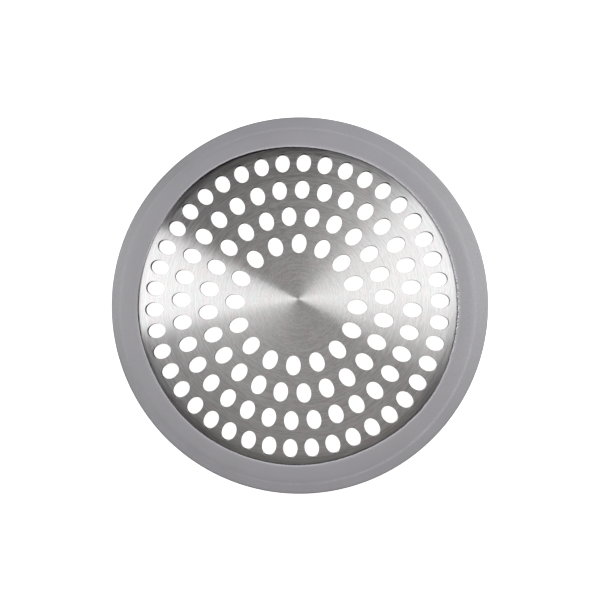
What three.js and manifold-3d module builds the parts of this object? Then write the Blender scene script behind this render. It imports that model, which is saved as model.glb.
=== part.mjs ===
// Bathtub hair catcher: a shallow domed stainless strainer whose hidden edge flange is locked inside a soft silicone rim.
// Millimetres, +Z up. The origin is on the vertical axis, on the plane that the rim rests on.
import * as THREE from "three";
import { mergeVertices } from "three/addons/utils/BufferGeometryUtils.js";
import Module from "manifold-3d";

// ---------- driving dimensions ----------
const SIDES = 60; // facets round the rim, the flange and the shoulder, shared so that the two pieces stay parallel

// Strainer sheet
const SHEET_T = 1.0; // sheet thickness
const DOME_R = 165; // radius of the shallow spherical crown, to the middle of the sheet
const EDGE_R = 49.6; // where the crown ends and the shoulder begins
const SHOULDER_R = 11.2; // easy shoulder that the crown rolls over into the skirt
const SHOULDER_DEG = 40; // how steeply the skirt falls below the shoulder
const SKIRT_L = 1.2; // straight part of the skirt
const FOOT_R = 1.2; // bend from the skirt into the flange
const FLANGE_R = 59.2; // outer radius of the hidden flange
const FLANGE_Z = 1.45; // height of the flange, to the middle of the sheet

// Oval drain holes, punched in the flat blank: [row's radius on the blank, number of holes, turn of the row in pitches]
const ROWS = [
  [20.45, 16, 0],
  [29.75, 24, 0.5],
  [39.1, 32, 0],
  [48.65, 42, 0],
];
const HOLE_LONG = 6.65; // along the radius
const HOLE_WIDE = 4.9; // across the radius
const HOLE_SIDES = 16;
const FIRST_ROW_S = 15.8; // plain disc inside the first row
const LAST_ROW_S = 52.5; // plain band outside the last row

// Anchor holes through the flange, filled by plugs of the rim
const ANCHORS = 20;
const ANCHOR_R = 57.4;
const ANCHOR_D = 2.2;
const ANCHOR_SIDES = 8;
const FIT = 0.05; // gap kept between the sheet and the rubber
const PLUG_D = ANCHOR_D - 0.2;

// Rim
const RIM_R = 63.5; // outer radius of the whole object
const RIM_TOP_Z = 3.46; // highest ring of the rim's rounded top
const CREASE_R = 60.25; // where the rounded top meets the flatter outer band
const LIP_S = 54.89; // how far up the skirt the upper lip reaches, as a distance along the blank
const GROOVE_TOP = FLANGE_Z + SHEET_T / 2 + FIT;
const GROOVE_BOTTOM = FLANGE_Z - SHEET_T / 2 - FIT;

// ---------- the pressed section of the strainer ----------
const CROWN_A = Math.asin(EDGE_R / DOME_R);
const SKIRT_A = THREE.MathUtils.degToRad(SHOULDER_DEG);
const crown = { s: DOME_R * CROWN_A, r: EDGE_R };
const shoulder = {
  s: crown.s + SHOULDER_R * (SKIRT_A - CROWN_A),
  r: crown.r + SHOULDER_R * (Math.sin(SKIRT_A) - Math.sin(CROWN_A)),
};
const skirt = {
  s: shoulder.s + SKIRT_L,
  r: shoulder.r + SKIRT_L * Math.cos(SKIRT_A),
};
const foot = {
  s: skirt.s + FOOT_R * SKIRT_A,
  r: skirt.r + FOOT_R * Math.sin(SKIRT_A),
};
const BLANK_R = foot.s + FLANGE_R - foot.r; // radius of the flat blank
skirt.z = FLANGE_Z + FOOT_R * (1 - Math.cos(SKIRT_A));
shoulder.z = skirt.z + SKIRT_L * Math.sin(SKIRT_A);
crown.z = shoulder.z + SHOULDER_R * (Math.cos(CROWN_A) - Math.cos(SKIRT_A));
const APEX_Z = crown.z + DOME_R * (1 - Math.cos(CROWN_A));

// A distance s along the blank's radius becomes a radius r, a height z and a slope a of the pressed sheet.
function pressed(s) {
  if (s <= crown.s) {
    const a = s / DOME_R;
    return { r: DOME_R * Math.sin(a), z: APEX_Z - DOME_R * (1 - Math.cos(a)), a };
  }
  if (s <= shoulder.s) {
    const a = CROWN_A + (s - crown.s) / SHOULDER_R;
    return {
      r: crown.r + SHOULDER_R * (Math.sin(a) - Math.sin(CROWN_A)),
      z: crown.z - SHOULDER_R * (Math.cos(CROWN_A) - Math.cos(a)),
      a,
    };
  }
  if (s <= skirt.s) {
    const d = s - shoulder.s;
    return {
      r: shoulder.r + d * Math.cos(SKIRT_A),
      z: shoulder.z - d * Math.sin(SKIRT_A),
      a: SKIRT_A,
    };
  }
  if (s <= foot.s) {
    const a = SKIRT_A - (s - skirt.s) / FOOT_R;
    return {
      r: skirt.r + FOOT_R * (Math.sin(SKIRT_A) - Math.sin(a)),
      z: skirt.z - FOOT_R * (Math.cos(a) - Math.cos(SKIRT_A)),
      a,
    };
  }
  return { r: foot.r + s - foot.s, z: FLANGE_Z, a: 0 };
}

// ---------- the rim's section as [radius, height], counter-clockwise from the inner edge of the foot ----------
// The lip's underside runs parallel to the skirt and its foot.
const underLip = [LIP_S, skirt.s, (skirt.s + foot.s) / 2, foot.s].map((s) => {
  const { r, z, a } = pressed(s);
  const up = SHEET_T / 2 + FIT;
  return [r + up * Math.sin(a), z + up * Math.cos(a)];
});
const RIM_SECTION = [
  [55.4, 0],
  [62.8, 0],
  [63.3, 0.12],
  [RIM_R, 0.5],
  [RIM_R, 1.75],
  [63.36, 2.15],
  [62.95, 2.33],
  [61.6, 2.58],
  [CREASE_R, 2.82],
  [60.06, 2.87],
  [58.9, 3.13],
  [57.8, 3.25],
  [57.0, 3.315],
  [56.06, 3.383],
  [55.14, 3.438],
  [54.4, RIM_TOP_Z],
  [54.0, 3.4],
  [53.87, 3.25],
  [53.82, 2.95],
  ...underLip,
  [FLANGE_R + FIT, GROOVE_TOP],
  [FLANGE_R + FIT, GROOVE_BOTTOM],
  [55.5, GROOVE_BOTTOM],
  [55.1, 0.6],
  [55.1, 0.3],
];

// ---------- the flat blank, in rings that meet on shared points ----------
const ringPoints = (s, n) =>
  Array.from({ length: n }, (_, i) => {
    const t = (i / n) * 2 * Math.PI;
    return new THREE.Vector2(s * Math.cos(t), s * Math.sin(t));
  });

// An oval opening centred at radius s and angle t, its long axis along the radius.
function oval(s, t, long, wide, sides) {
  const curve = new THREE.EllipseCurve(s * Math.cos(t), s * Math.sin(t), long / 2, wide / 2, 0, 2 * Math.PI, false, t);
  return curve.getPoints(sides).slice(0, sides);
}

const openings = ROWS.map(([s, count, turn]) =>
  Array.from({ length: count }, (_, i) => {
    const t = Math.PI / 2 + ((i + turn) / count) * 2 * Math.PI;
    return oval(s, t, HOLE_LONG, HOLE_WIDE, HOLE_SIDES);
  }),
);
const anchorS = foot.s + ANCHOR_R - foot.r;
const anchors = Array.from({ length: ANCHORS }, (_, i) => {
  const t = Math.PI / 2 + (i / ANCHORS) * 2 * Math.PI;
  return oval(anchorS, t, ANCHOR_D, ANCHOR_D, ANCHOR_SIDES);
});

// Circles of the blank as [radius, number of points, openings between this circle and the one inside it]
const between = (k) => (ROWS[k][0] + ROWS[k + 1][0]) / 2;
const circles = [
  [5.5, 10, []],
  [11, 20, []],
  [FIRST_ROW_S, 30, []],
  [between(0), 36, openings[0]],
  [between(1), 48, openings[1]],
  [between(2), SIDES, openings[2]],
  [LAST_ROW_S, SIDES, openings[3]],
  [(LAST_ROW_S + shoulder.s) / 2, SIDES, []],
  [shoulder.s, SIDES, []],
  [skirt.s, SIDES, []],
  [(skirt.s + foot.s) / 2, SIDES, []],
  [foot.s, SIDES, []],
  [BLANK_R, SIDES, anchors],
];

const flat = []; // triangles of the blank, counter-clockwise seen from above
let inner = null;
for (const [s, n, holes] of circles) {
  const outline = ringPoints(s, n);
  const cuts = [...(inner ? [inner] : []), ...holes];
  if (!inner) {
    outline.forEach((p, i) => flat.push([new THREE.Vector2(0, 0), p, outline[(i + 1) % n]]));
  } else {
    const points = [...outline, ...cuts.flat()];
    for (const [a, b, c] of THREE.ShapeUtils.triangulateShape(outline, cuts)) {
      const tri = [points[a], points[b], points[c]];
      flat.push(THREE.ShapeUtils.area(tri) > 0 ? tri : tri.reverse());
    }
  }
  inner = outline;
}

// ---------- press the blank into a closed sheet ----------
function place(p, side) {
  const { r, z, a } = pressed(p.length());
  const t = Math.atan2(p.y, p.x);
  const out = r + side * (SHEET_T / 2) * Math.sin(a);
  return [out * Math.cos(t), out * Math.sin(t), z + side * (SHEET_T / 2) * Math.cos(a)];
}

function strainerGeometry() {
  const xyz = [];
  for (const [a, b, c] of flat) {
    xyz.push(...place(a, 1), ...place(b, 1), ...place(c, 1));
    xyz.push(...place(a, -1), ...place(c, -1), ...place(b, -1));
  }
  // Cut edges: the outside of the blank and the wall of every opening, each facing away from the metal
  const wall = (loop, outside) =>
    loop.forEach((p, i) => {
      const q = loop[(i + 1) % loop.length];
      const [a, b] = outside ? [p, q] : [q, p];
      xyz.push(...place(a, -1), ...place(b, -1), ...place(b, 1));
      xyz.push(...place(a, -1), ...place(b, 1), ...place(a, 1));
    });
  wall(inner, true);
  for (const loop of [...openings.flat(), ...anchors]) wall(loop, false);
  const g = new THREE.BufferGeometry();
  g.setAttribute("position", new THREE.Float32BufferAttribute(xyz, 3));
  return mergeVertices(g, 1e-4);
}

// ---------- booleans ----------
const wasm = await Module();
wasm.setup();

function solid(geometry) {
  const g = geometry.clone();
  g.deleteAttribute("normal");
  g.deleteAttribute("uv");
  const merged = mergeVertices(g, 1e-4);
  return new wasm.Manifold(
    new wasm.Mesh({
      numProp: 3,
      vertProperties: merged.attributes.position.array,
      triVerts: new Uint32Array(merged.index.array),
    }),
  );
}

function geometryOf(manifold) {
  const m = manifold.getMesh();
  const g = new THREE.BufferGeometry();
  g.setAttribute("position", new THREE.BufferAttribute(new Float32Array(m.vertProperties), 3));
  g.setIndex(new THREE.BufferAttribute(new Uint32Array(m.triVerts), 1));
  return g;
}

// The rim: a ring with a groove for the flange, and plugs across the groove through the flange's anchor holes
function rimGeometry() {
  const section = [...RIM_SECTION, RIM_SECTION[0]].map(([r, z]) => new THREE.Vector2(r, z));
  let ring = solid(new THREE.LatheGeometry(section, SIDES).rotateX(Math.PI / 2));
  const bite = 0.25; // how far each plug runs into the rubber above and below the groove
  const length = GROOVE_TOP - GROOVE_BOTTOM + 2 * bite;
  for (let i = 0; i < ANCHORS; i++) {
    const t = Math.PI / 2 + (i / ANCHORS) * 2 * Math.PI;
    const plug = new THREE.CylinderGeometry(PLUG_D / 2, PLUG_D / 2, length, ANCHOR_SIDES)
      .rotateX(Math.PI / 2)
      .rotateZ(t - Math.PI / 2)
      .translate(ANCHOR_R * Math.cos(t), ANCHOR_R * Math.sin(t), FLANGE_Z);
    ring = ring.add(solid(plug));
  }
  return geometryOf(ring);
}

// ---------- the assembly ----------
const steel = new THREE.MeshStandardMaterial({ color: 0xc4c2c0, metalness: 1, roughness: 0.34 });
const silicone = new THREE.MeshStandardMaterial({ color: 0x98979c, metalness: 0, roughness: 0.62 });

function piece(name, geometry, material) {
  const mesh = new THREE.Mesh(geometry, material);
  mesh.geometry.computeVertexNormals();
  mesh.name = name;
  return mesh;
}

const hairCatcher = new THREE.Group();
hairCatcher.name = "bathtub_hair_catcher";
hairCatcher.add(piece("strainer_dome", strainerGeometry(), steel));
hairCatcher.add(piece("silicone_rim", rimGeometry(), silicone));

export default hairCatcher;
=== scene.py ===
import math

import bpy
import numpy as np
from mathutils import Matrix, Vector


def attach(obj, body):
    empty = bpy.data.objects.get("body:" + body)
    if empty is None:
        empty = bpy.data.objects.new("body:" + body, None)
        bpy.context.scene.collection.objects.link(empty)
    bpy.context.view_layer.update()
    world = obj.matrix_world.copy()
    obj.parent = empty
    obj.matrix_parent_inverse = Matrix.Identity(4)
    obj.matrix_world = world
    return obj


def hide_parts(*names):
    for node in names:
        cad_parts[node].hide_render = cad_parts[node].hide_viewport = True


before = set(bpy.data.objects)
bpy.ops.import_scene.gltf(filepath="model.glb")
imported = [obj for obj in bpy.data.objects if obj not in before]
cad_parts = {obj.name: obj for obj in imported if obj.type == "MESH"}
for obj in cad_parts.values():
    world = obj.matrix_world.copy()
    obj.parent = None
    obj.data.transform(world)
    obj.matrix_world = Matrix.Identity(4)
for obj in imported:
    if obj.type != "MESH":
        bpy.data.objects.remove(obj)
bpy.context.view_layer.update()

MM = 0.001

# ---------------------------------------------------------------- dimensions, in millimetres, as in the construction
SHEET_T = 1.0
DOME_R = 165.0
EDGE_R = 49.6
SHOULDER_R = 11.2
SKIRT_A = math.radians(40)
SKIRT_L = 1.2
FOOT_R = 1.2
FLANGE_R = 59.2
FLANGE_Z = 1.45
ROWS = ((20.45, 16, 0.0), (29.75, 24, 0.5), (39.1, 32, 0.0), (48.65, 42, 0.0))  # distance along the blank, holes, turn
ROW_HALF = 4.5  # half of a row's share of the blank
HOLE_LONG = 6.65
HOLE_WIDE = 4.9
LAST_ROW_S = 52.5  # outer end of the last row's share of the blank
LIP_S = 54.89  # how far up the blank the lip's underside reaches
ANCHORS = 20
ANCHOR_R = 57.4
ANCHOR_D = 2.2
PLUG_D = 2.0
FIT = 0.05
TRIM = (0.57, 0.33)  # the trimmed outer edge of the rim is slightly off the axis
RIM_R = 63.5
GROOVE_TOP = FLANGE_Z + SHEET_T / 2 + FIT
GROOVE_BOTTOM = FLANGE_Z - SHEET_T / 2 - FIT

CROWN_A = math.asin(EDGE_R / DOME_R)
CROWN_S = DOME_R * CROWN_A
SHOULDER_S = CROWN_S + SHOULDER_R * (SKIRT_A - CROWN_A)
SHOULDER_END_R = EDGE_R + SHOULDER_R * (math.sin(SKIRT_A) - math.sin(CROWN_A))
SKIRT_S = SHOULDER_S + SKIRT_L
SKIRT_END_R = SHOULDER_END_R + SKIRT_L * math.cos(SKIRT_A)
FOOT_S = SKIRT_S + FOOT_R * SKIRT_A
FOOT_END_R = SKIRT_END_R + FOOT_R * math.sin(SKIRT_A)
BLANK_R = FOOT_S + FLANGE_R - FOOT_END_R
SKIRT_END_Z = FLANGE_Z + FOOT_R * (1 - math.cos(SKIRT_A))
SHOULDER_END_Z = SKIRT_END_Z + SKIRT_L * math.sin(SKIRT_A)
CROWN_END_Z = SHOULDER_END_Z + SHOULDER_R * (math.cos(CROWN_A) - math.cos(SKIRT_A))
APEX_Z = CROWN_END_Z + DOME_R * (1 - math.cos(CROWN_A))


def pressed(s):
    """Radius, height and slope of the middle of the sheet at a distance s along the flat blank's radius."""
    s = np.asarray(s, float)
    a1 = s / DOME_R
    a2 = CROWN_A + (s - CROWN_S) / SHOULDER_R
    d3 = s - SHOULDER_S
    a4 = SKIRT_A - (s - SKIRT_S) / FOOT_R
    zero = np.zeros_like(s)
    where = [s <= CROWN_S, s <= SHOULDER_S, s <= SKIRT_S, s <= FOOT_S]
    r = np.select(where, [
        DOME_R * np.sin(a1),
        EDGE_R + SHOULDER_R * (np.sin(a2) - math.sin(CROWN_A)),
        SHOULDER_END_R + d3 * math.cos(SKIRT_A),
        SKIRT_END_R + FOOT_R * (math.sin(SKIRT_A) - np.sin(a4)),
    ], FOOT_END_R + s - FOOT_S)
    z = np.select(where, [
        APEX_Z - DOME_R * (1 - np.cos(a1)),
        CROWN_END_Z - SHOULDER_R * (math.cos(CROWN_A) - np.cos(a2)),
        SHOULDER_END_Z - d3 * math.sin(SKIRT_A),
        SKIRT_END_Z - FOOT_R * (np.cos(a4) - math.cos(SKIRT_A)),
    ], FLANGE_Z)
    a = np.select(where, [a1, a2, zero + SKIRT_A, a4], 0.0)
    return r, z, a


class Shell:
    """Collects vertices, their normals and faces, then welds them into one mesh."""

    def __init__(self):
        self.co, self.no, self.tag, self.mark, self.faces, self.mats = [], [], [], [], [], []
        self.count = 0

    def points(self, co, no, tag=0.0, mark=0.0):
        co = np.asarray(co, float).reshape(-1, 3)
        no = np.asarray(no, float).reshape(-1, 3)
        self.co.append(co)
        self.no.append(no)
        self.tag.append(np.broadcast_to(tag, len(co)))
        self.mark.append(np.broadcast_to(mark, len(co)))
        first = self.count
        self.count += len(co)
        return np.arange(first, self.count)

    def band(self, outer, inner, mat=0, flip=False):
        """Quads between two closed loops with the same number of points."""
        o2, i2 = np.roll(outer, -1), np.roll(inner, -1)
        quads = np.stack([outer, o2, i2, inner], 1)
        if flip:
            quads = quads[:, ::-1]
        self.faces.extend(quads.tolist())
        self.mats.extend([mat] * len(quads))

    def zipper(self, outer, outer_t, inner, inner_t, mat=0, flip=False):
        """Triangles between two closed loops with different numbers of points, each with its own angles."""
        two = 2 * math.pi
        io, ii = np.argsort(outer_t % two), np.argsort(inner_t % two)
        o, ot = outer[io], (outer_t % two)[io]
        n, nt = inner[ii], (inner_t % two)[ii]
        i = j = 0
        tris = []
        while i < len(o) or j < len(n):
            next_o = ot[(i + 1) % len(o)] + two * ((i + 1) // len(o)) if i < len(o) else 1e9
            next_n = nt[(j + 1) % len(n)] + two * ((j + 1) // len(n)) if j < len(n) else 1e9
            if next_o <= next_n:
                tris.append([o[i % len(o)], o[(i + 1) % len(o)], n[j % len(n)]])
                i += 1
            else:
                tris.append([o[i % len(o)], n[(j + 1) % len(n)], n[j % len(n)]])
                j += 1
        if flip:
            tris = [t[::-1] for t in tris]
        self.faces.extend([int(v) for v in t] for t in tris)
        self.mats.extend([mat] * len(tris))

    def fan(self, loop, tip, mat=0, flip=False):
        nxt = np.roll(loop, -1)
        for a, b in zip(loop, nxt):
            self.faces.append([int(tip), int(b), int(a)] if flip else [int(tip), int(a), int(b)])
            self.mats.append(mat)

    def build(self, name, materials):
        co = np.concatenate(self.co)
        no = np.concatenate(self.no)
        _, first, back = np.unique(np.round(co * 2e4).astype(np.int64), axis=0, return_index=True, return_inverse=True)
        back = back.reshape(-1)
        faces, mats = [], []
        for f, m in zip(self.faces, self.mats):
            g = []
            for v in f:
                w = int(back[v])
                if w not in g:
                    g.append(w)
            if len(g) > 2:
                faces.append(g)
                mats.append(m)
        mesh = bpy.data.meshes.new(name)
        mesh.from_pydata((co[first] * MM).tolist(), [], faces)
        mesh.polygons.foreach_set("material_index", np.array(mats, np.int32))
        mesh.polygons.foreach_set("use_smooth", np.ones(len(faces), bool))
        n = no[first]
        n /= np.linalg.norm(n, axis=1)[:, None]
        mesh.update()
        mesh.normals_split_custom_set_from_vertices(n.tolist())
        # per-point painted light and shade of the rim, and the amount of speckle
        for label, values in (("painted_light_shade", self.tag), ("speckled", self.mark)):
            values = np.concatenate(values)
            if values.any():
                mesh.attributes.new(label, "FLOAT", "POINT").data.foreach_set("value", values[first])
        obj = bpy.data.objects.new(name, mesh)
        bpy.context.scene.collection.objects.link(obj)
        for m in materials:
            mesh.materials.append(m)
        return obj


# ---------------------------------------------------------------- the strainer, punched flat and then pressed
def on_sheet(x, y, offset):
    """Point of the pressed sheet over the blank's point (x, y), offset from the middle along the normal, with its local axes."""
    s, t = np.hypot(x, y), np.arctan2(y, x)
    r, z, a = pressed(s)
    c, d = np.cos(t), np.sin(t)
    normal = np.stack([np.sin(a) * c, np.sin(a) * d, np.cos(a)], -1)
    along = np.stack([np.cos(a) * c, np.cos(a) * d, -np.sin(a)], -1)
    around = np.stack([-d, c, np.zeros_like(c)], -1)
    co = np.stack([r * c, r * d, z], -1) + np.asarray(offset)[..., None] * normal
    return co, normal, along, around, t


def hole_outline(u, long, wide, grow):
    """Points and outward directions of a hole's outline, centred, grown outwards by a distance. Slightly fuller than an ellipse."""
    e = 2.04
    c, s = np.cos(u), np.sin(u)
    x = long / 2 * np.sign(c) * np.abs(c) ** (2 / e)
    y = wide / 2 * np.sign(s) * np.abs(s) ** (2 / e)
    nx = np.sign(x) * np.abs(2 * x / long) ** (e - 1) / long
    ny = np.sign(y) * np.abs(2 * y / wide) ** (e - 1) / wide
    k = np.hypot(nx, ny)
    nx, ny = nx / k, ny / k
    return x + grow * nx, y + grow * ny, nx, ny


def cell_border(centre, s_in, s_out, count, arc, side):
    """Border of one hole's share of its row, counter-clockwise: radius and angle from the hole's own radius."""
    half = math.pi / count
    f = np.arange(arc) / arc
    g = np.arange(side) / side
    s = np.concatenate([np.full(arc, s_out), s_out + (s_in - s_out) * g, np.full(arc, s_in), s_in + (s_out - s_in) * g])
    t = np.concatenate([-half + 2 * half * f, np.full(side, half), half - 2 * half * f, np.full(side, -half)])
    return s, t


TOP_ROUND = 0.06  # rounded edge on the brushed side of each hole
LOW_ROUND = 0.04  # small break on the underside
BRUSHED, CUT, MILL = 0, 1, 2


def hole_row(shell, count, turn, centre, long, wide, s_in, s_out, arc=10, side=10):
    """One row of holes with the sheet round them, top to bottom."""
    bs, bt = cell_border(centre, s_in, s_out, count, arc, side)
    bx, by = bs * np.cos(bt), bs * np.sin(bt)
    half_w = centre * math.pi / count
    u = np.arctan2(by / half_w, (bx - centre) / ((s_out - s_in) / 2))
    t2 = SHEET_T / 2
    for k in range(count):
        phi = math.pi / 2 + (k + turn) / count * 2 * math.pi
        c, s = math.cos(phi), math.sin(phi)

        def loop(x, y, offset, tilt=0.0, nx=None, ny=None, up=1.0):
            gx, gy = c * x - s * y, s * x + c * y
            co, normal, along, around, ang = on_sheet(gx, gy, np.full(len(x), offset))
            no = normal * up
            if nx is not None:
                vx, vy = c * nx - s * ny, s * nx + c * ny
                ca, sa = np.cos(ang), np.sin(ang)
                out = along * (vx * ca + vy * sa)[:, None] + around * (-vx * sa + vy * ca)[:, None]
                no = normal * up * math.cos(tilt) - out * math.sin(tilt)
            return shell.points(co, no)

        loops, mats = [], []
        hx, hy, nx, ny = hole_outline(u, long, wide, TOP_ROUND)
        hx = hx + centre
        for f in (1.0, 0.5, 0.18, 0.0):
            loops.append(loop(hx + (bx - hx) * f, hy + (by - hy) * f, t2))
            mats.append(BRUSHED)
        for deg in (22.5, 45, 67.5, 90):
            a = math.radians(deg)
            x, y, nx, ny = hole_outline(u, long, wide, TOP_ROUND * (1 - math.sin(a)))
            loops.append(loop(x + centre, y, t2 - TOP_ROUND * (1 - math.cos(a)), a, nx, ny))
            mats.append(BRUSHED if deg < 70 else CUT)
        x, y, nx, ny = hole_outline(u, long, wide, 0.0)
        loops.append(loop(x + centre, y, -t2 + LOW_ROUND, math.pi / 2, nx, ny))
        mats.append(CUT)
        for deg in (45, 0):
            a = math.radians(deg)
            x, y, nx, ny = hole_outline(u, long, wide, LOW_ROUND * (1 - math.sin(a)))
            loops.append(loop(x + centre, y, -t2 + LOW_ROUND * (1 - math.cos(a)), a, nx, ny, -1.0))
            mats.append(CUT)
        lx, ly, _, _ = hole_outline(u, long, wide, LOW_ROUND)
        lx = lx + centre
        for f in (0.4, 1.0):
            loops.append(loop(lx + (bx - lx) * f, ly + (by - ly) * f, -t2, up=-1.0))
            mats.append(MILL)
        for i in range(len(loops) - 1):
            shell.band(loops[i], loops[i + 1], mats[i + 1])


def circle_angles(count, turn, arc):
    """Angles of the points that a row's cells leave on their border circles."""
    n = count * arc
    return math.pi / 2 + (turn - 0.5) / count * 2 * math.pi + np.arange(n) / n * 2 * math.pi


def sheet_ring(shell, s, angles, top):
    co, normal, _, _, _ = on_sheet(s * np.cos(angles), s * np.sin(angles), np.full(len(angles), SHEET_T / 2 if top else -SHEET_T / 2))
    return shell.points(co, normal if top else -normal)


def build_strainer(materials):
    shell = Shell()
    spans = []
    for k, (centre, count, turn) in enumerate(ROWS):
        s_in = centre - ROW_HALF
        s_out = LAST_ROW_S if k == len(ROWS) - 1 else centre + ROW_HALF
        hole_row(shell, count, turn, centre, HOLE_LONG, HOLE_WIDE, s_in, s_out)
        spans.append((s_in, s_out, circle_angles(count, turn, 10)))
    anchor_s = FOOT_S + ANCHOR_R - FOOT_END_R
    flange_in, flange_out = FOOT_S + 0.2, BLANK_R - 0.35
    hole_row(shell, ANCHORS, 0.0, anchor_s, ANCHOR_D, ANCHOR_D, flange_in, flange_out)
    flange_t = circle_angles(ANCHORS, 0.0, 10)

    for top in (True, False):
        mat, flip = (BRUSHED, False) if top else (MILL, True)

        def join(s1, t1, s2, t2):
            a, b = sheet_ring(shell, s1, t1, top), sheet_ring(shell, s2, t2, top)
            shell.zipper(b, t2, a, t1, mat, flip)

        # bare crown
        steps = [(1.0, 12), (2.6, 24), (5.0, 40), (8.0, 64), (11.0, 80), (13.6, 120)]
        rings = [(s, np.arange(n) / n * 2 * math.pi) for s, n in steps] + [(spans[0][0], spans[0][2])]
        co, normal, _, _, _ = on_sheet(np.zeros(1), np.zeros(1), np.array([SHEET_T / 2 if top else -SHEET_T / 2]))
        tip = shell.points(co, normal if top else -normal)[0]
        shell.fan(sheet_ring(shell, rings[0][0], rings[0][1], top), tip, mat, flip)
        for (s1, t1), (s2, t2) in zip(rings, rings[1:]):
            join(s1, t1, s2, t2)
        # between the rows
        for low, high in zip(spans, spans[1:]):
            join(low[1], low[2], high[0], high[2])
        # shoulder, skirt and foot
        edge_t = spans[-1][2]
        fine = list(np.linspace(LAST_ROW_S, SHOULDER_S, 7)) + [SHOULDER_S + SKIRT_L / 2] + list(np.linspace(SKIRT_S, FOOT_S, 7))
        loops = [sheet_ring(shell, s, edge_t, top) for s in fine]
        for a, b in zip(loops, loops[1:]):
            shell.band(b, a, mat, flip)
        join(FOOT_S, edge_t, flange_in, flange_t)

    # rounded outer edge of the flange, hidden in the rim
    e, t2 = 0.15, SHEET_T / 2
    section = [(flange_out, t2, 0.0, 1.0)]
    section += [(BLANK_R - e + e * math.sin(a), t2 - e + e * math.cos(a), math.sin(a), math.cos(a)) for a in np.linspace(0, math.pi / 2, 4)]
    section += [(BLANK_R - e + e * math.sin(a), -t2 + e - e * math.cos(a), math.sin(a), -math.cos(a)) for a in np.linspace(math.pi / 2, 0, 4)]
    section += [(flange_out, -t2, 0.0, -1.0)]
    ca, sa = np.cos(flange_t), np.sin(flange_t)
    loops = []
    for s, o, nr, nz in section:
        r = FOOT_END_R + s - FOOT_S
        loops.append(shell.points(np.stack([r * ca, r * sa, np.full_like(ca, FLANGE_Z + o)], -1), np.stack([nr * ca, nr * sa, np.full_like(ca, nz)], -1)))
    for a, b in zip(loops, loops[1:]):
        shell.band(b, a, MILL)
    return shell.build("strainer_dome_visual", materials)


# ---------------------------------------------------------------- the silicone rim
def bezier(p0, p1, p2, p3, n):
    t = np.linspace(0, 1, n)[:, None]
    p0, p1, p2, p3 = (np.array(p, float) for p in (p0, p1, p2, p3))
    return (1 - t) ** 3 * p0 + 3 * (1 - t) ** 2 * t * p1 + 3 * (1 - t) * t * t * p2 + t ** 3 * p3


def rim_section():
    """The rim's section as (radius, height), from the groove up under the lip, over the top and down to the foot's inner edge."""
    r, z, a = pressed(np.linspace(FOOT_S, LIP_S, 14))
    gap = SHEET_T / 2 + FIT
    under = np.stack([r + gap * np.sin(a), z + gap * np.cos(a)], -1)  # lies along the steel
    parts = [
        under,
        bezier(under[-1], (53.85, under[-1][1] + 0.01), (53.82, 2.89), (53.82, 2.95), 4),  # thin edge of the lip
        bezier((53.82, 2.95), (53.82, 3.28), (53.98, 3.46), (54.4, 3.46), 22),  # rounded inner edge
        bezier((54.4, 3.46), (55.2, 3.46), (56.9, 3.325), (57.8, 3.25), 24),  # gently rounded top
        bezier((57.8, 3.25), (58.7, 3.175), (59.5, 3.05), (60.06, 2.87), 12),  # falls away outwards
        bezier((60.06, 2.87), (60.12, 2.85), (60.18, 2.835), (60.25, 2.82), 4),  # crease
        bezier((60.25, 2.82), (61.1, 2.67), (62.2, 2.47), (62.95, 2.33), 8),  # outer band
        bezier((62.95, 2.33), (63.3, 2.26), (63.5, 2.05), (RIM_R, 1.75), 8),  # rounded outer edge
        bezier((RIM_R, 1.75), (RIM_R, 1.3), (RIM_R, 0.9), (RIM_R, 0.5), 5),
        bezier((RIM_R, 0.5), (RIM_R, 0.2), (63.2, 0.0), (62.8, 0.0), 7),
        bezier((62.8, 0.0), (60.0, 0.0), (57.8, 0.0), (55.4, 0.0), 10),  # flat foot
        bezier((55.4, 0.0), (55.2, 0.0), (55.1, 0.1), (55.1, 0.3), 5),
        bezier((55.1, 0.3), (55.1, 0.6), (55.2, 0.75), (55.5, GROOVE_BOTTOM), 5),
    ]
    pts = [parts[0]]
    for p in parts[1:]:
        pts.append(p[1:])
    return np.concatenate(pts)


def bump(t, centre, width):
    """1 at an angle in degrees, falling away smoothly on both sides of it."""
    away = np.degrees((t - math.radians(centre) + math.pi) % (2 * math.pi) - math.pi)
    return np.exp(-(away / width) ** 2)


def uneven(t):
    """Slow waves and fine raggedness of the lip's moulded edge, in millimetres, the same every time."""
    waves = ((0, 0.28, 180), (1, 0.096, 31), (2, 0.186, -62), (3, 0.141, -38), (4, 0.102, 156), (5, 0.214, -150), (6, 0.043, 0), (7, 0.066, 146), (8, 0.056, 11))
    slow = sum(a * np.cos(k * (t - math.radians(2.7)) - math.radians(p)) for k, a, p in waves)
    fine = np.sin(37 * t + 1.3) + np.sin(53 * t + 0.2) + 0.9 * np.sin(88 * t + 3.0) + 0.8 * np.sin(131 * t + 5.1)
    ragged = 0.01 + 0.035 * np.clip(np.cos(t), 0, 1) ** 2
    torn = 0.04 * bump(t, 2, 24) * (np.sin(211 * t + 1.9) + np.sin(317 * t + 4.4))
    return slow + ragged * fine + torn + 0.3 * (bump(t, 25, 28) + bump(t, 160, 18)) - 0.34 * bump(t, 116, 20)


def smooth(x):
    x = np.clip(x, 0.0, 1.0)
    return x * x * (3 - 2 * x)


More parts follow.
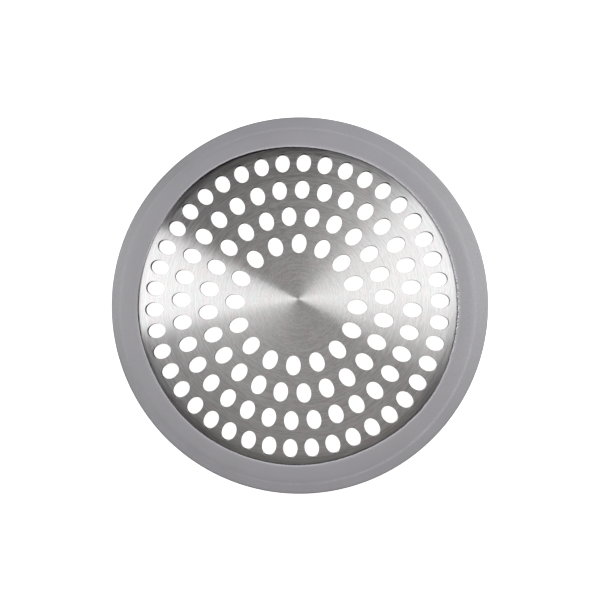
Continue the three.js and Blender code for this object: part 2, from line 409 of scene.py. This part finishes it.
def build_rim(materials):
    shell = Shell()
    arc = 32
    t = circle_angles(ANCHORS, 0.0, arc)
    ct, st = np.cos(t), np.sin(t)
    sec = rim_section()
    d = np.gradient(sec, axis=0)
    d /= np.linalg.norm(d, axis=1)[:, None]
    nr, nz = -d[:, 1], d[:, 0]  # the section runs clockwise, so its outside is on its left
    wobble = uneven(t)
    side = 0.5 + 0.5 * np.cos(t - math.radians(36))
    # painted shade in the corner between lip and steel, turned into painted light in places where the steel beside it
    # is bright, and a painted highlight on the lip's edge beside it
    corner_shade_and_light = 0.75 + 0.95 * bump(t, 116, 18) - 2.3 * (bump(t, 160, 14) + bump(t, 20, 22)) - 1.2 * bump(t, 50, 16) - 0.6 * bump(t, 342, 12)
    # painted highlight along the lip's inner edge, strongest towards the right
    edge_highlight = 0.49 + 0.6 * bump(t, 28, 35) + 0.2 * bump(t, 42, 10) - 0.55 * bump(t, 162, 20) - 0.25 * bump(t, 195, 22) - 0.15 * bump(t, 232, 20) - 0.2 * bump(t, 340, 10)
    edge = 54.02 + 0.34 * bump(t, 116, 20) - 0.16 * bump(t, 25, 28) - 0.12 * bump(t, 42, 10) + 0.07 * bump(t, 164, 18)
    # painted highlight on a band along the lip, brighter towards the right where the light falls
    lip_highlight = 0.12 * (1 - bump(t, 135, 45)) + 0.15 * side ** 3
    # painted highlight along the crease, varying round the rim
    crease_highlight = 0.176 + 0.083 * np.cos(t + math.radians(55)) + 0.109 * np.cos(2 * t + math.radians(151)) + 0.029 * np.cos(3 * t + math.radians(95))
    crease_highlight = crease_highlight - 0.08 * bump(t, 20, 30)
    crease_r = 60.3 + 0.12 * bump(t, 315, 40)
    # painted light and shade on the outer band: lighter on the lower half, darker in a few places
    band_shading = 0.06 * np.clip(-np.sin(t + math.radians(10)), 0, 1) ** 2 - 0.11 * bump(t, 141, 11) - 0.085 * bump(t, 200, 12) - 0.05 * bump(t, 332, 16)
    # painted light on the right side of the rim
    right_side_light = 0.05 * bump(t, 15, 25)
    outer_edge_dark = 0.6 * (1 - side)  # darker along the outer edge, most on the side away from 36 degrees
    # painted light and shade over the rim's top: lighter on the left and right, where the light falls
    body_light_and_shade = 0.025 + 0.06 * np.cos(t) ** 4 + 0.05 * np.clip(np.cos(t - math.radians(15)), 0, 1) ** 3 + 0.05 * bump(t, 77, 13) - 0.03 * bump(t, 140, 12)
    tip = int(np.argmin(sec[:, 0]))
    loops = []
    for i, ((r, z), a, b) in enumerate(zip(sec, nr, nz)):
        on_lip = i <= tip or z > 2.6
        if i <= tip:  # under the lip: slides along the steel
            w, lean = smooth((FOOT_END_R - r) / (FOOT_END_R - sec[tip][0])), 1.0
        else:
            w, lean = smooth((56.4 - r) / 2.0) if on_lip else 0.0, smooth((sec[tip][1] + 0.51 - z) / 0.51)
        out = smooth((r - 60.3) / 2.5)
        x = (r + wobble * w) * ct + out * TRIM[0]
        y = (r + wobble * w) * st + out * TRIM[1]
        h = z - wobble * w * lean * math.tan(SKIRT_A)
        # under the lip: painted shade in the corner, lightened in places to stand in for light
        if i <= tip:
            pale = -corner_shade_and_light
        elif on_lip:
            pale = body_light_and_shade + lip_highlight * smooth((55.5 - r) / 1.1) + edge_highlight * smooth((r - edge + 0.05) / 0.12) * smooth((edge + 0.6 - r) / 0.25)
            pale = pale - (corner_shade_and_light + body_light_and_shade + lip_highlight) * smooth((edge + 0.06 - r) / 0.12)
            pale = pale + crease_highlight * smooth((r - 59.2) / 0.8) * smooth((crease_r - r) / 0.25) + band_shading * smooth((r - 60.25) / 0.3) + right_side_light * smooth((r - 58.2) / 0.7)
        else:
            pale = body_light_and_shade + band_shading + right_side_light - 0.3 * outer_edge_dark * smooth((r - 62.8) / 0.5)
        speckled = 1.5 * bump(t, 3, 17) * smooth((54.5 - r) / 0.25) if on_lip else 0.0  # chipped here
        loops.append(shell.points(np.stack([x, y, h], -1), np.stack([a * ct, a * st, np.full_like(ct, b)], -1), pale, speckled))
    for a, b in zip(loops, loops[1:]):
        shell.band(b, a)

    # groove for the flange, with a plug of rubber through each anchor hole
    r_out = FLANGE_R + FIT
    for z, r_in, up in ((GROOVE_TOP, sec[0][0], -1.0), (GROOVE_BOTTOM, sec[-1][0], 1.0)):
        bs, bt = cell_border(ANCHOR_R, r_in, r_out, ANCHORS, arc, 8)
        bx, by = bs * np.cos(bt), bs * np.sin(bt)
        if up < 0:  # both ends of a plug share its points
            u = np.arctan2(by / (ANCHOR_R * math.pi / ANCHORS), (bx - ANCHOR_R) / ((r_out - r_in) / 2))
            px, py = ANCHOR_R + PLUG_D / 2 * np.cos(u), PLUG_D / 2 * np.sin(u)
        for k in range(ANCHORS):
            phi = math.pi / 2 + k / ANCHORS * 2 * math.pi
            c, s = math.cos(phi), math.sin(phi)
            ring = []
            for f in (1.0, 0.45, 0.0):
                x, y = px + (bx - px) * f, py + (by - py) * f
                ring.append(shell.points(np.stack([c * x - s * y, s * x + c * y, np.full_like(x, z)], -1), np.tile([0.0, 0.0, up], (len(x), 1))))
            for a, b in zip(ring, ring[1:]):
                shell.band(a, b, 0, up < 0)
            if up < 0:
                low = shell.points(np.stack([c * px - s * py, s * px + c * py, np.full_like(px, GROOVE_BOTTOM)], -1), np.tile([0.0, 0.0, 1.0], (len(px), 1)))
                shell.band(ring[-1], low, 0, True)
    walls = [shell.points(np.stack([r_out * ct, r_out * st, np.full_like(ct, z)], -1), np.stack([-ct, -st, np.zeros_like(ct)], -1)) for z in (GROOVE_TOP, GROOVE_BOTTOM)]
    shell.band(walls[0], walls[1], 0)
    return shell.build("silicone_rim_visual", materials)


# ---------------------------------------------------------------- materials
BRUSH = (0.70, 1.75)  # centre of the circular brushing, in millimetres


def new_material(name):
    m = bpy.data.materials.new(name)
    m.use_nodes = True
    nt = m.node_tree
    nt.nodes.clear()
    out = nt.nodes.new("ShaderNodeOutputMaterial")
    bsdf = nt.nodes.new("ShaderNodeBsdfPrincipled")
    nt.links.new(bsdf.outputs[0], out.inputs[0])
    return m, nt, bsdf


def node(nt, kind, inputs=(), **attrs):
    n = nt.nodes.new(kind)
    for k, v in attrs.items():
        setattr(n, k, v)
    for k, v in dict(inputs).items():
        if hasattr(v, "is_output") or isinstance(v, bpy.types.NodeSocket):
            nt.links.new(v, n.inputs[k])
        else:
            n.inputs[k].default_value = v
    return n


def math_node(nt, op, a, b=0.0, clamp=False):
    n = nt.nodes.new("ShaderNodeMath")
    n.operation = op
    n.use_clamp = clamp
    for i, v in enumerate((a, b)):
        if isinstance(v, bpy.types.NodeSocket):
            nt.links.new(v, n.inputs[i])
        else:
            n.inputs[i].default_value = v
    return n.outputs[0]


def polar(nt):
    """Radius in millimetres from the brushing's centre and the direction on the unit circle, from the part's own coordinates, so that nothing has a seam."""
    co = node(nt, "ShaderNodeTexCoord").outputs["Object"]
    flat = node(nt, "ShaderNodeVectorMath", {0: co, 1: (1000.0, 1000.0, 0.0), 2: (-BRUSH[0], -BRUSH[1], 0.0)}, operation="MULTIPLY_ADD").outputs[0]
    r = node(nt, "ShaderNodeVectorMath", {0: flat}, operation="LENGTH").outputs["Value"]
    unit = node(nt, "ShaderNodeVectorMath", {0: flat}, operation="NORMALIZE").outputs[0]
    return co, r, unit


def streaks(nt, r, unit, per_mm, turns, detail, rough=0.55, shift=0.0):
    """Noise drawn out round the axis: per_mm lines across each millimetre of radius, and slow changes round the circle."""
    xy = node(nt, "ShaderNodeVectorMath", {0: unit, "Scale": turns}, operation="SCALE").outputs[0]
    up = node(nt, "ShaderNodeCombineXYZ", {2: math_node(nt, "MULTIPLY_ADD", r, per_mm)})
    up.inputs[2].links[0].from_node.inputs[2].default_value = shift
    v = node(nt, "ShaderNodeVectorMath", {0: xy, 1: up.outputs[0]}, operation="ADD").outputs[0]
    return node(nt, "ShaderNodeTexNoise", {"Vector": v, "Scale": 1.0, "Detail": detail, "Roughness": rough}, noise_dimensions="3D").outputs["Fac"]


def ramp(nt, fac, stops):
    n = nt.nodes.new("ShaderNodeValToRGB")
    nt.links.new(fac, n.inputs[0])
    e = n.color_ramp.elements
    while len(e) < len(stops):
        e.new(0.5)
    for el, (p, c) in zip(e, stops):
        el.position = p
        el.color = (*c, 1.0) if len(c) == 3 else c
    return n.outputs[0]


def brushed_steel():
    m, nt, bsdf = new_material("circular_brushed_steel")
    co, r, unit = polar(nt)
    short = streaks(nt, r, unit, 4.4, 16.0, 1.0, 0.6, 77.0)
    medium = streaks(nt, r, unit, 3.8, 7.0, 1.0, 0.55, 31.0)
    rings = streaks(nt, r, unit, 3.2, 1.6, 1.5, 0.6, 11.0)
    fine = streaks(nt, r, unit, 9.0, 9.0, 2.0, 0.6, 5.0)
    mix = math_node(nt, "ADD",
                    math_node(nt, "ADD", math_node(nt, "MULTIPLY", short, 0.42), math_node(nt, "MULTIPLY", medium, 0.26)),
                    math_node(nt, "ADD", math_node(nt, "MULTIPLY", rings, 0.24), math_node(nt, "MULTIPLY", fine, 0.08)))
    tone = ramp(nt, mix, ((0.30, (0.455, 0.455, 0.455)), (0.5, (0.51, 0.51, 0.51)), (0.70, (0.565, 0.565, 0.565))))
    cloud = node(nt, "ShaderNodeTexNoise", {"Vector": co, "Scale": 260.0, "Detail": 3.0}).outputs["Fac"]
    hue = ramp(nt, cloud, ((0.35, (1.024, 0.982, 0.990)), (0.65, (0.978, 1.006, 1.002))))
    nt.links.new(node(nt, "ShaderNodeVectorMath", {0: tone, 1: hue}, operation="MULTIPLY").outputs[0], bsdf.inputs["Base Color"])
    wear = math_node(nt, "ADD", math_node(nt, "MULTIPLY", medium, 0.5), math_node(nt, "MULTIPLY", rings, 0.5))
    rough = node(nt, "ShaderNodeMapRange", {0: wear, 1: 0.3, 2: 0.7, 3: 0.275, 4: 0.325}).outputs[0]
    nt.links.new(rough, bsdf.inputs["Roughness"])
    bsdf.inputs["Metallic"].default_value = 1.0
    bsdf.inputs["Anisotropic"].default_value = 1.0
    # the scratches run round the brushing's centre, each a little off true
    around = node(nt, "ShaderNodeVectorMath", {0: (0.0, 0.0, 1.0), 1: unit}, operation="CROSS_PRODUCT").outputs[0]
    stray = math_node(nt, "MULTIPLY", math_node(nt, "SUBTRACT", short, 0.5), 0.3)
    lean = node(nt, "ShaderNodeVectorMath", {0: around, "Scale": stray}, operation="SCALE").outputs[0]
    across = node(nt, "ShaderNodeVectorMath", {0: unit, 1: lean}, operation="ADD").outputs[0]
    across = node(nt, "ShaderNodeVectorTransform", {0: across}, vector_type="VECTOR", convert_from="OBJECT", convert_to="WORLD").outputs[0]
    nt.links.new(across, bsdf.inputs["Tangent"])
    turned = math_node(nt, "ADD", mix, math_node(nt, "MULTIPLY", math_node(nt, "SUBTRACT", rings, 0.5), 0.22))
    scatter = node(nt, "ShaderNodeMapRange", {0: turned, 1: 0.47, 2: 0.53, 3: 0.0, 4: 1.0}).outputs[0]
    nt.links.new(scatter, bsdf.inputs["Coat Weight"])
    bsdf.inputs["Coat Roughness"].default_value = 0.6
    bsdf.inputs["Coat IOR"].default_value = 2.4
    bump = node(nt, "ShaderNodeBump", {"Height": mix, "Strength": 0.5, "Distance": 0.00002})
    nt.links.new(bump.outputs[0], bsdf.inputs["Normal"])
    return m


def cut_edge():
    m, nt, bsdf = new_material("punched_edge")
    co = node(nt, "ShaderNodeTexCoord").outputs["Object"]
    v = node(nt, "ShaderNodeVectorMath", {0: co, 1: (5200.0, 5200.0, 600.0)}, operation="MULTIPLY").outputs[0]
    n = node(nt, "ShaderNodeTexNoise", {"Vector": v, "Scale": 1.0, "Detail": 3.0}).outputs["Fac"]
    nt.links.new(ramp(nt, n, ((0.3, (0.40, 0.39, 0.385)), (0.7, (0.56, 0.55, 0.545)))), bsdf.inputs["Base Color"])
    nt.links.new(node(nt, "ShaderNodeMapRange", {0: n, 1: 0.3, 2: 0.7, 3: 0.24, 4: 0.32}).outputs[0], bsdf.inputs["Roughness"])
    bsdf.inputs["Metallic"].default_value = 1.0
    bump = node(nt, "ShaderNodeBump", {"Height": n, "Strength": 0.5, "Distance": 0.00003})
    nt.links.new(bump.outputs[0], bsdf.inputs["Normal"])
    return m


def mill_steel():
    m, nt, bsdf = new_material("mill_finish_steel")
    co = node(nt, "ShaderNodeTexCoord").outputs["Object"]
    grain = node(nt, "ShaderNodeTexNoise", {"Vector": co, "Scale": 5200.0, "Detail": 3.0}).outputs["Fac"]
    cloud = node(nt, "ShaderNodeTexNoise", {"Vector": co, "Scale": 130.0, "Detail": 3.0}).outputs["Fac"]
    both = math_node(nt, "ADD", math_node(nt, "MULTIPLY", grain, 0.5), math_node(nt, "MULTIPLY", cloud, 0.5))
    nt.links.new(ramp(nt, both, ((0.3, (0.50, 0.49, 0.48)), (0.7, (0.60, 0.59, 0.58)))), bsdf.inputs["Base Color"])
    nt.links.new(node(nt, "ShaderNodeMapRange", {0: both, 1: 0.3, 2: 0.7, 3: 0.34, 4: 0.46}).outputs[0], bsdf.inputs["Roughness"])
    bsdf.inputs["Metallic"].default_value = 1.0
    bump = node(nt, "ShaderNodeBump", {"Height": grain, "Strength": 0.3, "Distance": 0.00001})
    nt.links.new(bump.outputs[0], bsdf.inputs["Normal"])
    return m


def silicone():
    m, nt, bsdf = new_material("matte_grey_silicone")
    co = node(nt, "ShaderNodeTexCoord").outputs["Object"]
    grain = node(nt, "ShaderNodeTexNoise", {"Vector": co, "Scale": 6500.0, "Detail": 2.0, "Roughness": 0.6}).outputs["Fac"]
    cloud = node(nt, "ShaderNodeTexNoise", {"Vector": co, "Scale": 90.0, "Detail": 4.0, "Roughness": 0.55}).outputs["Fac"]
    both = math_node(nt, "ADD", math_node(nt, "MULTIPLY", grain, 0.35), math_node(nt, "MULTIPLY", cloud, 0.65))
    body = ramp(nt, both, ((0.3, (0.3075, 0.305, 0.331)), (0.7, (0.3445, 0.342, 0.3715))))
    # painted light and shade of the rim, read from the mesh and broken up by flecks
    painted_light_shade = node(nt, "ShaderNodeAttribute", attribute_name="painted_light_shade").outputs["Fac"]
    flecks = node(nt, "ShaderNodeTexNoise", {"Vector": co, "Scale": 2600.0, "Detail": 1.0}).outputs["Fac"]
    flecks = node(nt, "ShaderNodeMapRange", {0: flecks, 1: 0.35, 2: 0.65, 3: 0.5, 4: 1.5}).outputs[0]
    chips = node(nt, "ShaderNodeTexNoise", {"Vector": co, "Scale": 2300.0, "Detail": 0.0}).outputs["Fac"]
    chips = node(nt, "ShaderNodeMapRange", {0: chips, 1: 0.42, 2: 0.58, 3: -1.0, 4: 1.0}).outputs[0]
    speckled = node(nt, "ShaderNodeAttribute", attribute_name="speckled").outputs["Fac"]
    pale = math_node(nt, "ADD", math_node(nt, "MULTIPLY", painted_light_shade, flecks), math_node(nt, "MULTIPLY", speckled, chips))
    pale = math_node(nt, "MAXIMUM", math_node(nt, "ADD", pale, 1.0), 0.03)
    nt.links.new(node(nt, "ShaderNodeVectorMath", {0: body, "Scale": pale}, operation="SCALE").outputs[0], bsdf.inputs["Base Color"])
    nt.links.new(node(nt, "ShaderNodeMapRange", {0: both, 1: 0.3, 2: 0.7, 3: 0.38, 4: 0.46}).outputs[0], bsdf.inputs["Roughness"])
    nt.links.new(node(nt, "ShaderNodeMapRange", {0: pale, 1: 0.03, 2: 0.9, 3: 0.1, 4: 1.0}).outputs[0], bsdf.inputs["Specular IOR Level"])  # where shade is painted darker, the surface is also less shiny
    bsdf.inputs["IOR"].default_value = 1.6
    bump = node(nt, "ShaderNodeBump", {"Height": grain, "Strength": 0.35, "Distance": 0.00002})
    nt.links.new(bump.outputs[0], bsdf.inputs["Normal"])
    return m


# ---------------------------------------------------------------- the two pieces
strainer = build_strainer([brushed_steel(), cut_edge(), mill_steel()])
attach(strainer, "root")
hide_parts("strainer_dome")

rim = build_rim([silicone()])
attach(rim, "root")
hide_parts("silicone_rim")

# ---------------------------------------------------------------- stage, light and camera
floor_mesh = bpy.data.meshes.new("floor")
floor_mesh.from_pydata([(-3, -3, 0), (3, -3, 0), (3, 3, 0), (-3, 3, 0)], [], [(0, 1, 2, 3)])
floor = bpy.data.objects.new("floor", floor_mesh)
floor.location.z = -0.00005
bpy.context.scene.collection.objects.link(floor)
fm, nt, bsdf = new_material("white_floor")
bsdf.inputs["Base Color"].default_value = (0.8, 0.8, 0.8, 1)
bsdf.inputs["Roughness"].default_value = 0.9
bsdf.inputs["Specular IOR Level"].default_value = 0.0
bsdf.inputs["Emission Color"].default_value = (1, 1, 1, 1)
bsdf.inputs["Emission Strength"].default_value = 0.93
floor_mesh.materials.append(fm)
floor.visible_glossy = False

# white paper all round the stage, seen behind the part from low angles, that lights nothing
ring = np.arange(96) / 96 * 2 * math.pi
levels = np.radians(np.linspace(-80, 80, 17))
corners = [(5.5 * math.cos(v) * math.cos(a), 5.5 * math.cos(v) * math.sin(a), 5.5 * math.sin(v)) for v in levels for a in ring]
quads = [(i * 96 + j, i * 96 + (j + 1) % 96, i * 96 + 96 + (j + 1) % 96, i * 96 + 96 + j) for i in range(16) for j in range(96)]
paper_mesh = bpy.data.meshes.new("paper")
paper_mesh.from_pydata(corners, [], quads)
paper = bpy.data.objects.new("paper", paper_mesh)
bpy.context.scene.collection.objects.link(paper)
pm, nt, bsdf = new_material("white_paper")
bsdf.inputs["Base Color"].default_value = (0, 0, 0, 1)
bsdf.inputs["Specular IOR Level"].default_value = 0.0
bsdf.inputs["Emission Color"].default_value = (1, 1, 1, 1)
bsdf.inputs["Emission Strength"].default_value = 1.3
paper_mesh.materials.append(pm)
paper.visible_glossy = paper.visible_diffuse = paper.visible_transmission = paper.visible_shadow = False

world = bpy.data.worlds.new("studio")
bpy.context.scene.world = world
world.use_nodes = True
wt = world.node_tree
wt.nodes.clear()
w_out = wt.nodes.new("ShaderNodeOutputWorld")
w_bg = wt.nodes.new("ShaderNodeBackground")
w_dir = wt.nodes.new("ShaderNodeTexCoord")
w_sep = wt.nodes.new("ShaderNodeSeparateXYZ")
wt.links.new(w_dir.outputs["Generated"], w_sep.inputs[0])
w_ramp = wt.nodes.new("ShaderNodeValToRGB")
wt.links.new(w_sep.outputs["Z"], w_ramp.inputs[0])
e = w_ramp.color_ramp.elements
while len(e) < 5:
    e.new(0.5)
for el, (p, v, b) in zip(e, ((0.0, 0.02, 0.91), (0.5, 0.02, 0.91), (0.75, 0.05, 0.91), (0.93, 0.54, 0.935), (1.0, 0.75, 0.957))):
    el.position, el.color = p, (v, 0.952 * v, b * v, 1)
# light that the sweep throws up from straight below, brighter on its left and far sides
dx, dy = w_sep.outputs["X"], w_sep.outputs["Y"]
slope = math_node(wt, "ADD", math_node(wt, "MULTIPLY", dx, -0.80), math_node(wt, "MULTIPLY", dy, 0.55))
square = math_node(wt, "SUBTRACT", math_node(wt, "MULTIPLY", math_node(wt, "MULTIPLY", dx, dx), 0.95), math_node(wt, "MULTIPLY", math_node(wt, "MULTIPLY", dy, dy), 0.85))
glow = math_node(wt, "ADD", square, math_node(wt, "ADD", slope, 0.45))
deep = node(wt, "ShaderNodeMapRange", {0: w_sep.outputs["Z"], 1: -0.55, 2: -0.75, 3: 0.0, 4: 1.0}, interpolation_type="SMOOTHSTEP").outputs[0]
glow = math_node(wt, "MULTIPLY", math_node(wt, "MAXIMUM", glow, 0.0), deep)
# the studio's ceiling is dimmer towards its left
dim = math_node(wt, "MAXIMUM", math_node(wt, "ADD", 1.0, math_node(wt, "MULTIPLY", math_node(wt, "MINIMUM", dx, 0.0), 1.3)), 0.0)
sky = node(wt, "ShaderNodeVectorMath", {0: w_ramp.outputs[0], "Scale": dim}, operation="SCALE").outputs[0]
both = node(wt, "ShaderNodeVectorMath", {0: sky, 1: glow}, operation="ADD").outputs[0]
wt.links.new(both, w_bg.inputs[0])
w_bg.inputs[1].default_value = 1.0
wt.links.new(w_bg.outputs[0], w_out.inputs[0])


def panel(name, azimuths, zeniths, radiance, feather, distance=1.0, color=(1, 1, 1)):
    """An upright soft light panel beside the part, between two compass angles and two angles from straight up, in degrees.

    feather gives the share of its width or height over which it fades out at each edge: first azimuth, last azimuth, low edge, top edge."""
    a1, a2 = (math.radians(v) for v in azimuths)
    low, top = (distance / math.tan(math.radians(v)) for v in zeniths)
    width, height = 2 * distance * math.tan((a2 - a1) / 2), top - low
    data = bpy.data.lights.new(name, "AREA")
    data.shape = "RECTANGLE"
    data.size, data.size_y = width, height
    data.energy = radiance * math.pi * width * height
    data.color = color
    data.use_nodes = True
    lt = data.node_tree
    lt.nodes.clear()
    l_out = lt.nodes.new("ShaderNodeOutputLight")
    l_em = lt.nodes.new("ShaderNodeEmission")
    lt.links.new(l_em.outputs[0], l_out.inputs[0])
    uv = node(lt, "ShaderNodeSeparateXYZ", {0: node(lt, "ShaderNodeNewGeometry").outputs["Parametric"]})
    total = None
    for side, f in enumerate(feather):
        c = uv.outputs[side // 2]
        d = c if side % 2 == 0 else math_node(lt, "SUBTRACT", 1.0, c)
        fade = node(lt, "ShaderNodeMapRange", {0: d, 1: 0.0, 2: f, 3: 0.0, 4: 1.0}, interpolation_type="SMOOTHSTEP").outputs[0]
        total = fade if total is None else math_node(lt, "MULTIPLY", total, fade)
    lt.links.new(total, l_em.inputs["Strength"])
    o = bpy.data.objects.new(name, data)
    mid = (a1 + a2) / 2
    back = Vector((math.cos(mid), math.sin(mid), 0))
    z_axis = Vector((0, 0, 1))
    x_axis = z_axis.cross(back)
    o.matrix_world = Matrix.Translation(back * distance + z_axis * (low + top) / 2) @ Matrix((x_axis, z_axis, back)).transposed().to_4x4()
    o.visible_camera = False
    bpy.context.scene.collection.objects.link(o)
    return o


panel("left_low_panel", (151.6, 192.3), (86, 46), 2.48, (0.02, 0.17, 0.02, 0.12))
panel("left_middle_panel", (151.6, 193.4), (48, 27), 1.92, (0.02, 0.27, 0.04, 0.002))
panel("left_high_panel", (151.6, 208), (27, 9), 1.92, (0.02, 0.54, 0.002, 0.68))
panel("left_fill", (194, 246), (20, 3), 0.68, (0.3, 0.5, 0.06, 0.3))
panel("right_low_panel", (-18, 59), (86, 46), 2.2, (0.46, 0.24, 0.02, 0.12))
panel("right_high_panel", (-29, 67), (48, 9), 1.86, (0.48, 0.33, 0.02, 0.55))
panel("right_fill", (46, 94), (45, 9), 0.45, (0.3, 0.6, 0.03, 0.3))
panel("right_low_fill", (46, 94), (74, 45), 0.48, (0.3, 0.6, 0.1, 0.02))
panel("front_fill", (234, 335), (86, 32), 0.175, (0.22, 0.3, 0.05, 0.3), color=(1, 0.96, 0.88))

scene = bpy.context.scene
scene.view_settings.view_transform = "Standard"
scene.view_settings.look = "None"
scene.view_settings.exposure = 0.0
scene.view_settings.gamma = 1.0

# Camera almost straight above, a little to the right and towards the viewer, with the part turned slightly clockwise
ROLL = math.radians(2.7)
right = Vector((math.cos(ROLL), math.sin(ROLL), 0))
up = Vector((-math.sin(ROLL), math.cos(ROLL), 0))
target = Vector((0, 0, 0.00065)) + right * 0.00076 + up * 0.00199
tilt_x, tilt_y, distance = math.radians(2.7), math.radians(2.9), 0.8992
toward = (right * math.tan(tilt_x) - up * math.tan(tilt_y) + Vector((0, 0, 1))).normalized()
cam_data = bpy.data.cameras.new("camera")
cam_data.sensor_width = 36.0
cam_data.sensor_fit = "HORIZONTAL"
cam_data.lens = 160.0
cam_data.clip_start = 0.01
cam_data.clip_end = 20.0
cam = bpy.data.objects.new("camera", cam_data)
back = toward
x_axis = up.cross(back).normalized()
y_axis = back.cross(x_axis)
cam.matrix_world = Matrix.Translation(target + back * distance) @ Matrix((x_axis, y_axis, back)).transposed().to_4x4()
scene.collection.objects.link(cam)
scene.camera = cam
